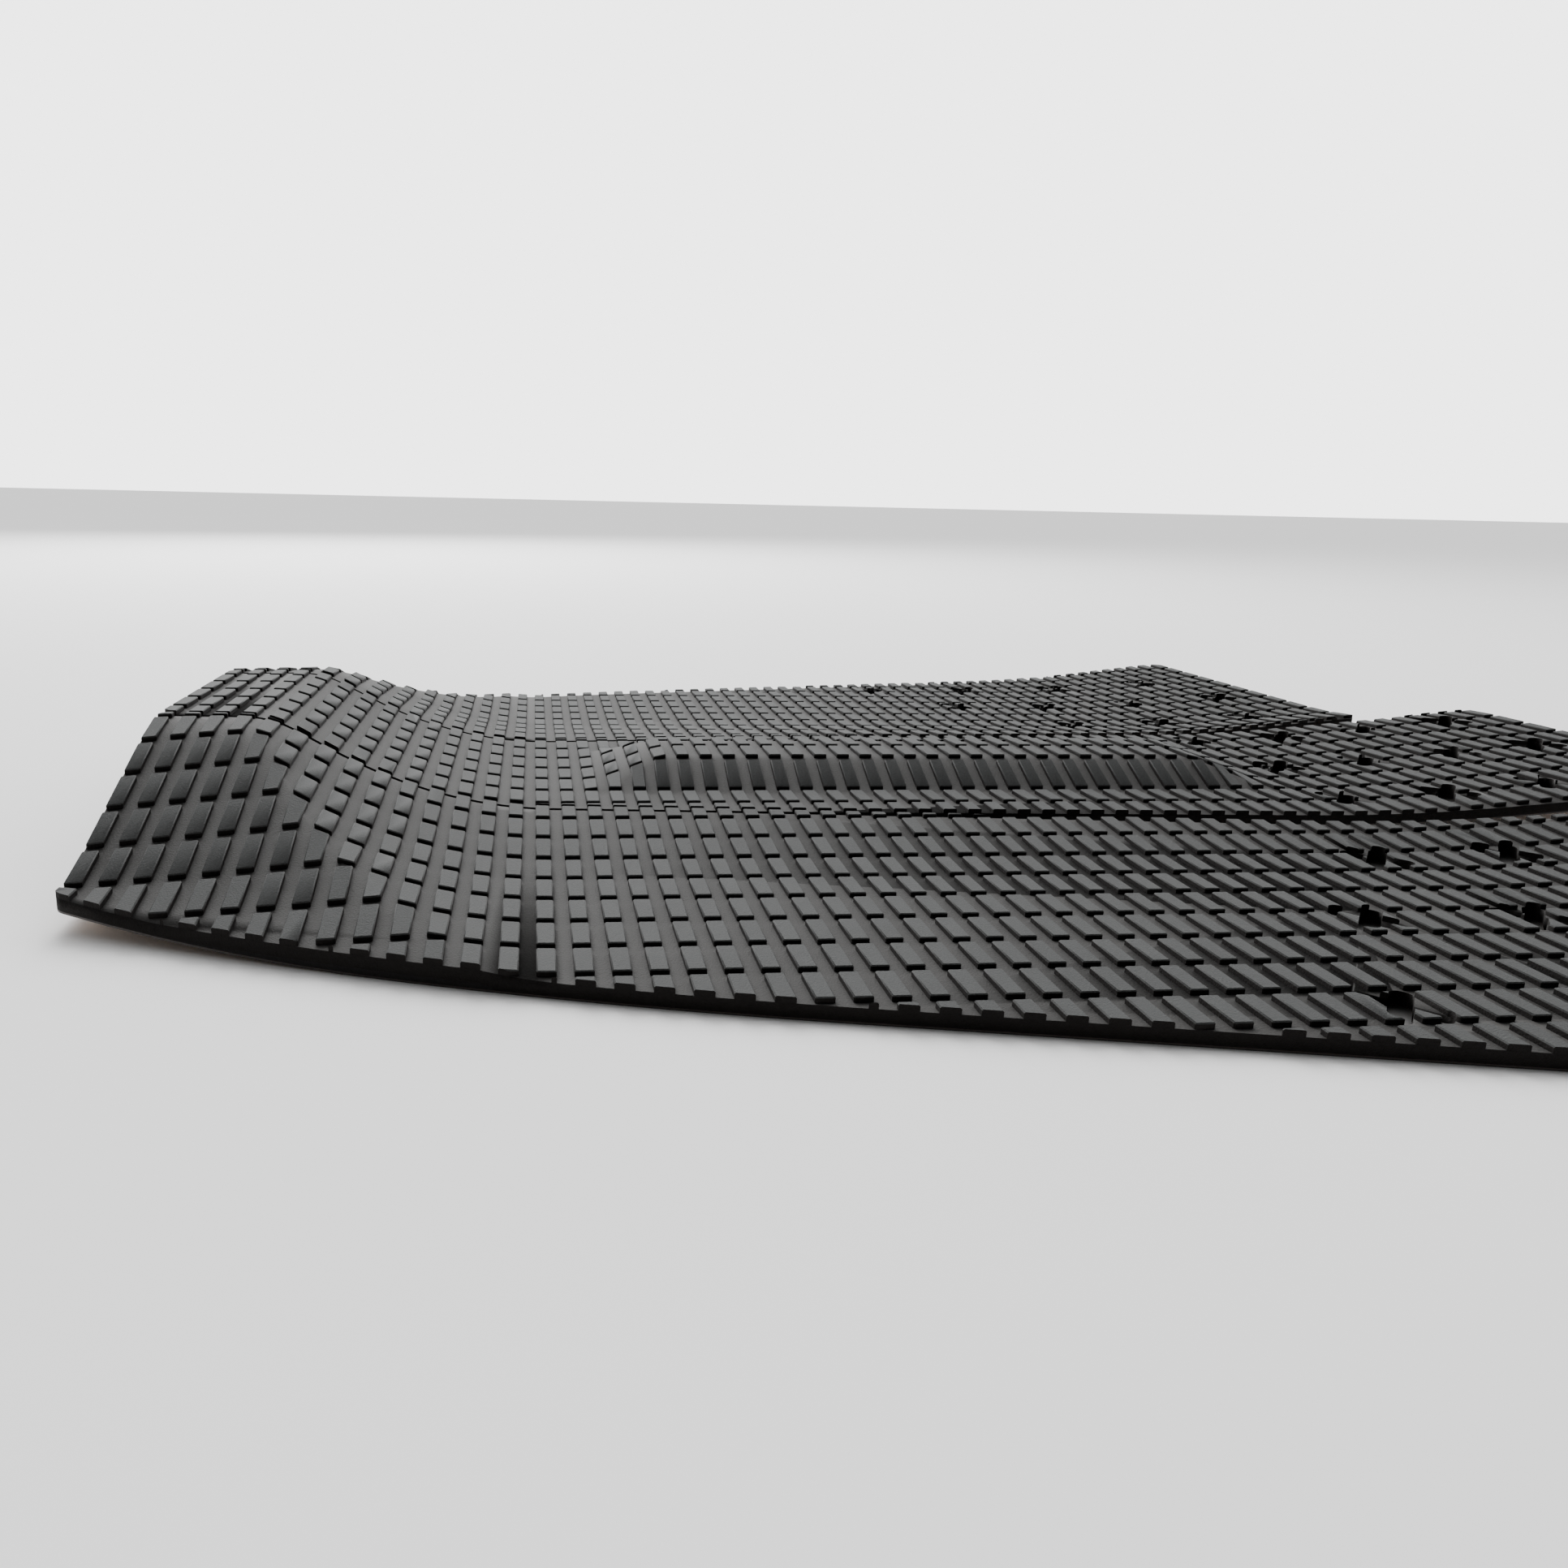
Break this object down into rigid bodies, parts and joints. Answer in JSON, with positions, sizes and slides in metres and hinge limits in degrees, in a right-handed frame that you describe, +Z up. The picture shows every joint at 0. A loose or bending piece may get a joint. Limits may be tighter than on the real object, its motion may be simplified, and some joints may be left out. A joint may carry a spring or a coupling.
{
  "type": "stomp pad",
  "caption": "Foam foot traction pad in three panels with a raised tail kick and a low arch bar, stuck to a board's deck for grip.",
  "frame": {"origin": "bottom centre of the bounding box: level with the flat underside of the side panels, on the centre line, halfway along the length", "axes": "+X towards the nose end, along the length; +Y to the left; +Z up, away from the board"},
  "size_m": [0.31, 0.2996, 0.0217],
  "materials": {
    "deck_foam": "closed-cell EVA foam, sanded tread blocks, fine grain",
    "core_foam": "closed-cell EVA foam, skived",
    "adhesive": "pressure-sensitive film",
    "liner_paper": "brown silicone-coated kraft paper"
  },
  "bodies": {
    "root": {"right_deck": "deck_foam", "centre_deck": "deck_foam", "left_deck": "deck_foam", "right_kick_wedge": "core_foam", "centre_kick_wedge": "core_foam", "left_kick_wedge": "core_foam", "arch_core": "core_foam", "right_adhesive": "adhesive", "centre_adhesive": "adhesive", "left_adhesive": "adhesive", "right_liner": "liner_paper", "centre_liner": "liner_paper", "left_liner": "liner_paper"}
  },
  "joints": []
}
